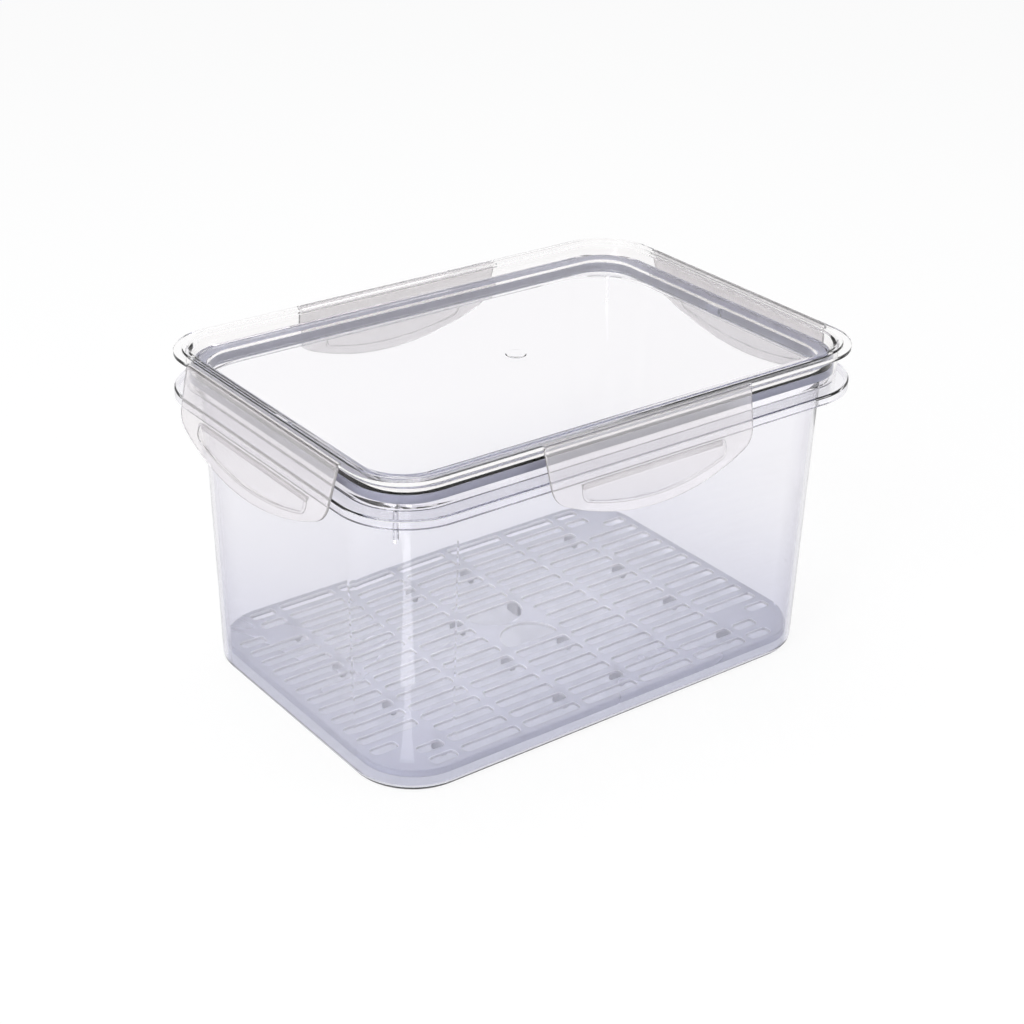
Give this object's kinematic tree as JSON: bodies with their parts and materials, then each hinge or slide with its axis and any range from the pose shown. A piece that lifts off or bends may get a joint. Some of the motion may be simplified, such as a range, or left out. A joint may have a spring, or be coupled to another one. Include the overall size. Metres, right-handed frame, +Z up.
{
  "type": "airtight food container with drainer",
  "caption": "Clear tapered food container with flanged rim, slotted drainer plate, dished clear lid with a seal ring and hinged snap wings on its sides",
  "frame": {"origin": "the middle of the container's underside", "axes": "+X along the long side to the right, +Y along the short side away from the front, +Z up"},
  "size_m": [0.2996, 0.2172, 0.1645],
  "materials": {
    "clear_body": "clear, polished",
    "drainer_plate": "translucent, satin",
    "clear_lid": "clear, polished",
    "seal_ring": "smooth silicone",
    "wing_plastic": "slightly frosted"
  },
  "bodies": {
    "container": {"container": "clear_body", "drainer": "drainer_plate"},
    "lid": {"lid": "clear_lid", "gasket": "seal_ring"},
    "wing_front": {"wing_front": "wing_plastic"},
    "wing_back": {"wing_back": "wing_plastic"},
    "wing_left": {"wing_left": "wing_plastic"},
    "wing_right": {"wing_right": "wing_plastic"}
  },
  "joints": [
    {"name": "lid_lift", "type": "slide", "parent": "container", "child": "lid", "axis": [0, 0, 1], "range_m": [0, 0.1]},
    {"name": "wing_front_hinge", "type": "hinge", "parent": "lid", "child": "wing_front", "pos_m": [0, -0.0987, 0.1627], "axis": [-1, 0, 0], "range_deg": [-2.4, 110], "stiffness_Nm_per_rad": 0.02},
    {"name": "wing_back_hinge", "type": "hinge", "parent": "lid", "child": "wing_back", "pos_m": [0, 0.0987, 0.1627], "axis": [1, 0, 0], "range_deg": [-2.4, 110], "stiffness_Nm_per_rad": 0.02},
    {"name": "wing_left_hinge", "type": "hinge", "parent": "lid", "child": "wing_left", "pos_m": [-0.1399, 0, 0.1627], "axis": [0, 1, 0], "range_deg": [-2.4, 110], "stiffness_Nm_per_rad": 0.02},
    {"name": "wing_right_hinge", "type": "hinge", "parent": "lid", "child": "wing_right", "pos_m": [0.1399, 0, 0.1627], "axis": [0, -1, 0], "range_deg": [-2.4, 110], "stiffness_Nm_per_rad": 0.02}
  ]
}
